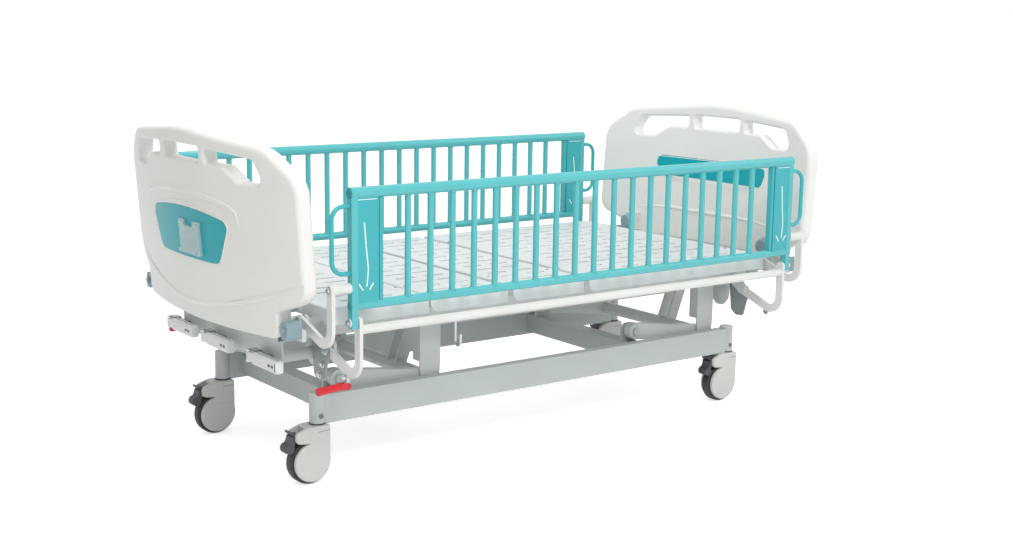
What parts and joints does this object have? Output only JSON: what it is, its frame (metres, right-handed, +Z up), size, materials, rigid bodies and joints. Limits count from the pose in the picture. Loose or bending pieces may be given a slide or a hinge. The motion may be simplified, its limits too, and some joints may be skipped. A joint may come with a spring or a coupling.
{
  "type": "pediatric hospital cot",
  "caption": "Crank-operated pediatric hospital cot with drop-down barred side rails, moulded end boards, slotted folding deck and braked swivel castors.",
  "frame": {"origin": "on the floor, under the middle of the bed", "axes": "+X from the foot end to the head end, +Y to the far side, +Z up"},
  "size_m": [2.0654, 1.062, 0.9548],
  "materials": {
    "teal_coat": "satin powder coat",
    "grey_coat": "satin powder coat",
    "white_coat": "satin powder coat",
    "zinc_steel": "satin",
    "board_plastic": "satin moulded",
    "panel_plastic": "satin moulded",
    "deck_plastic": "satin moulded",
    "castor_plastic": "satin moulded",
    "castor_tyre": "matt",
    "dark_plastic": "matt",
    "bumper_plastic": "matt",
    "red_plastic": "gloss",
    "clear_plastic": "clear"
  },
  "bodies": {
    "base": {"base_beam_near": "grey_coat", "base_beam_far": "grey_coat", "castor_posts": "grey_coat", "base_cross_members": "grey_coat", "lift_brackets": "grey_coat", "post_caps": "castor_plastic"},
    "lift_arm_foot": {"lift_arms_foot": "white_coat"},
    "lift_arm_head": {"lift_arms_head": "white_coat"},
    "lift_link": {"lift_link_rod": "white_coat"},
    "bed_frame": {"frame_beam_near": "grey_coat", "frame_beam_far": "grey_coat", "frame_cross_members": "grey_coat", "frame_legs": "grey_coat", "bag_hooks": "zinc_steel", "deck_seat": "deck_plastic", "headboard": "board_plastic", "headboard_panels": "panel_plastic", "footboard": "board_plastic", "footboard_panels": "panel_plastic", "card_holder": "clear_plastic", "board_brackets": "grey_coat", "board_knobs": "bumper_plastic", "rail_brackets_near": "grey_coat", "rail_brackets_far": "grey_coat", "crank_mount": "grey_coat"},
    "back_section": {"deck_back": "deck_plastic", "back_subframe": "grey_coat"},
    "thigh_section": {"deck_thigh": "deck_plastic", "thigh_subframe": "grey_coat"},
    "calf_section": {"deck_calf": "deck_plastic", "calf_subframe": "grey_coat"},
    "rail_lower_arm_near": {"rail_lower_arms_near": "white_coat"},
    "side_rail_near": {"rail_frame_near": "teal_coat", "rail_ends_near": "teal_coat"},
    "rail_upper_arm_near": {"rail_upper_arms_near": "white_coat"},
    "rail_release_lever_near": {"rail_release_near": "red_plastic"},
    "rail_lower_arm_far": {"rail_lower_arms_far": "white_coat"},
    "side_rail_far": {"rail_frame_far": "teal_coat", "rail_ends_far": "teal_coat"},
    "rail_upper_arm_far": {"rail_upper_arms_far": "white_coat"},
    "rail_release_lever_far": {"rail_release_far": "red_plastic"},
    "castor_foot_near": {"castor_fork_foot_near": "castor_plastic"},
    "castor_wheel_body_foot_near": {"castor_wheel_foot_near": "castor_tyre"},
    "castor_pedal_body_foot_near": {"castor_pedal_foot_near": "dark_plastic"},
    "castor_foot_far": {"castor_fork_foot_far": "castor_plastic"},
    "castor_wheel_body_foot_far": {"castor_wheel_foot_far": "castor_tyre"},
    "castor_pedal_body_foot_far": {"castor_pedal_foot_far": "dark_plastic"},
    "castor_head_near": {"castor_fork_head_near": "castor_plastic"},
    "castor_wheel_body_head_near": {"castor_wheel_head_near": "castor_tyre"},
    "castor_pedal_body_head_near": {"castor_pedal_head_near": "dark_plastic"},
    "castor_head_far": {"castor_fork_head_far": "castor_plastic"},
    "castor_wheel_body_head_far": {"castor_wheel_head_far": "castor_tyre"},
    "castor_pedal_body_head_far": {"castor_pedal_head_far": "dark_plastic"},
    "crank_leg_arm": {"crank_leg": "zinc_steel"},
    "crank_leg_handle": {"crank_grip_leg": "castor_plastic"},
    "crank_lift_arm": {"crank_lift": "zinc_steel"},
    "crank_lift_handle": {"crank_grip_lift": "castor_plastic"},
    "crank_back_arm": {"crank_back": "zinc_steel"},
    "crank_back_handle": {"crank_grip_back": "castor_plastic"}
  },
  "joints": [
    {"name": "height_lift", "type": "hinge", "parent": "base", "child": "lift_arm_foot", "pos_m": [-0.69, 0, 0.269], "axis": [0, -1, 0], "range_deg": [0, 65]},
    {"name": "height_level", "type": "hinge", "parent": "lift_arm_foot", "child": "bed_frame", "pos_m": [-0.39257, 0, 0.22984], "axis": [0, -1, 0], "range_deg": [-65, 0]},
    {"name": "height_lift_head", "type": "hinge", "parent": "base", "child": "lift_arm_head", "pos_m": [0.399, 0, 0.269], "axis": [0, -1, 0], "range_deg": [0, 65]},
    {"name": "height_link", "type": "hinge", "parent": "lift_arm_foot", "child": "lift_link", "pos_m": [-0.34885, 0, 0.34374], "axis": [0, -1, 0], "range_deg": [-65, 0]},
    {"name": "back_raise", "type": "hinge", "parent": "bed_frame", "child": "back_section", "pos_m": [0.04, 0, 0.5], "axis": [0, -1, 0], "range_deg": [0, 70]},
    {"name": "thigh_raise", "type": "hinge", "parent": "bed_frame", "child": "thigh_section", "pos_m": [-0.237, 0, 0.5], "axis": [0, 1, 0], "range_deg": [0, 40]},
    {"name": "calf_fold", "type": "hinge", "parent": "thigh_section", "child": "calf_section", "pos_m": [-0.51, 0, 0.4705], "axis": [0, 1, 0], "range_deg": [-72, 0]},
    {"name": "rail_drop_near", "type": "hinge", "parent": "bed_frame", "child": "rail_lower_arm_near", "pos_m": [0, -0.36, 0.38], "axis": [1, 0, 0], "range_deg": [0, 84]},
    {"name": "rail_upright_near", "type": "hinge", "parent": "rail_lower_arm_near", "child": "side_rail_near", "pos_m": [0, -0.516, 0.485], "axis": [1, 0, 0], "range_deg": [-84, 0]},
    {"name": "rail_upper_swing_near", "type": "hinge", "parent": "bed_frame", "child": "rail_upper_arm_near", "pos_m": [0, -0.36, 0.47], "axis": [1, 0, 0], "range_deg": [0, 84]},
    {"name": "rail_release_near", "type": "hinge", "parent": "rail_lower_arm_near", "child": "rail_release_lever_near", "pos_m": [-0.778, -0.455, 0.304], "axis": [0, 1, 0], "range_deg": [0, 18], "stiffness_Nm_per_rad": 0.6, "springref_deg": -11.46},
    {"name": "rail_drop_far", "type": "hinge", "parent": "bed_frame", "child": "rail_lower_arm_far", "pos_m": [0, 0.36, 0.38], "axis": [-1, 0, 0], "range_deg": [0, 84]},
    {"name": "rail_upright_far", "type": "hinge", "parent": "rail_lower_arm_far", "child": "side_rail_far", "pos_m": [0, 0.516, 0.485], "axis": [-1, 0, 0], "range_deg": [-84, 0]},
    {"name": "rail_upper_swing_far", "type": "hinge", "parent": "bed_frame", "child": "rail_upper_arm_far", "pos_m": [0, 0.36, 0.47], "axis": [-1, 0, 0], "range_deg": [0, 84]},
    {"name": "rail_release_far", "type": "hinge", "parent": "rail_lower_arm_far", "child": "rail_release_lever_far", "pos_m": [-0.778, 0.455, 0.304], "axis": [0, 1, 0], "range_deg": [0, 18], "stiffness_Nm_per_rad": 0.6, "springref_deg": -11.46},
    {"name": "castor_swivel_foot_near", "type": "hinge", "parent": "base", "child": "castor_foot_near", "pos_m": [-0.775, -0.29, 0.163], "axis": [0, 0, 1], "continuous": true},
    {"name": "castor_roll_foot_near", "type": "hinge", "parent": "castor_foot_near", "child": "castor_wheel_body_foot_near", "pos_m": [-0.803, -0.29, 0.0625], "axis": [0, 1, 0], "continuous": true},
    {"name": "castor_brake_foot_near", "type": "hinge", "parent": "castor_foot_near", "child": "castor_pedal_body_foot_near", "pos_m": [-0.839, -0.29, 0.135], "axis": [0, 1, 0], "range_deg": [0, 14]},
    {"name": "castor_swivel_foot_far", "type": "hinge", "parent": "base", "child": "castor_foot_far", "pos_m": [-0.775, 0.29, 0.163], "axis": [0, 0, 1], "continuous": true},
    {"name": "castor_roll_foot_far", "type": "hinge", "parent": "castor_foot_far", "child": "castor_wheel_body_foot_far", "pos_m": [-0.803, 0.29, 0.0625], "axis": [0, 1, 0], "continuous": true},
    {"name": "castor_brake_foot_far", "type": "hinge", "parent": "castor_foot_far", "child": "castor_pedal_body_foot_far", "pos_m": [-0.839, 0.29, 0.135], "axis": [0, 1, 0], "range_deg": [0, 14]},
    {"name": "castor_swivel_head_near", "type": "hinge", "parent": "base", "child": "castor_head_near", "pos_m": [0.775, -0.29, 0.163], "axis": [0, 0, 1], "continuous": true},
    {"name": "castor_roll_head_near", "type": "hinge", "parent": "castor_head_near", "child": "castor_wheel_body_head_near", "pos_m": [0.747, -0.29, 0.0625], "axis": [0, 1, 0], "continuous": true},
    {"name": "castor_brake_head_near", "type": "hinge", "parent": "castor_head_near", "child": "castor_pedal_body_head_near", "pos_m": [0.711, -0.29, 0.135], "axis": [0, 1, 0], "range_deg": [0, 14]},
    {"name": "castor_swivel_head_far", "type": "hinge", "parent": "base", "child": "castor_head_far", "pos_m": [0.775, 0.29, 0.163], "axis": [0, 0, 1], "continuous": true},
    {"name": "castor_roll_head_far", "type": "hinge", "parent": "castor_head_far", "child": "castor_wheel_body_head_far", "pos_m": [0.747, 0.29, 0.0625], "axis": [0, 1, 0], "continuous": true},
    {"name": "castor_brake_head_far", "type": "hinge", "parent": "castor_head_far", "child": "castor_pedal_body_head_far", "pos_m": [0.711, 0.29, 0.135], "axis": [0, 1, 0], "range_deg": [0, 14]},
    {"name": "crank_turn_leg", "type": "hinge", "parent": "bed_frame", "child": "crank_leg_arm", "pos_m": [-0.9, 0.262, 0.352], "axis": [1, 0, 0], "continuous": true},
    {"name": "crank_unfold_leg", "type": "hinge", "parent": "crank_leg_arm", "child": "crank_leg_handle", "pos_m": [-0.925, 0.322, 0.352], "axis": [0, 0, -1], "range_deg": [0, 90]},
    {"name": "crank_turn_lift", "type": "hinge", "parent": "bed_frame", "child": "crank_lift_arm", "pos_m": [-0.9, 0.032, 0.352], "axis": [1, 0, 0], "continuous": true},
    {"name": "crank_unfold_lift", "type": "hinge", "parent": "crank_lift_arm", "child": "crank_lift_handle", "pos_m": [-0.925, 0.092, 0.352], "axis": [0, 0, -1], "range_deg": [0, 90]},
    {"name": "crank_turn_back", "type": "hinge", "parent": "bed_frame", "child": "crank_back_arm", "pos_m": [-0.9, -0.25, 0.352], "axis": [1, 0, 0], "continuous": true},
    {"name": "crank_unfold_back", "type": "hinge", "parent": "crank_back_arm", "child": "crank_back_handle", "pos_m": [-0.925, -0.19, 0.352], "axis": [0, 0, -1], "range_deg": [0, 90]}
  ],
  "couplings": [
    {"joint": "height_level", "follows": "height_lift", "ratio": -1},
    {"joint": "height_lift_head", "follows": "height_lift", "ratio": 1},
    {"joint": "height_link", "follows": "height_lift", "ratio": -1},
    {"joint": "calf_fold", "follows": "thigh_raise", "ratio": -1.75},
    {"joint": "rail_upright_near", "follows": "rail_drop_near", "ratio": -1},
    {"joint": "rail_upper_swing_near", "follows": "rail_drop_near", "ratio": 1},
    {"joint": "rail_upright_far", "follows": "rail_drop_far", "ratio": -1},
    {"joint": "rail_upper_swing_far", "follows": "rail_drop_far", "ratio": 1}
  ]
}
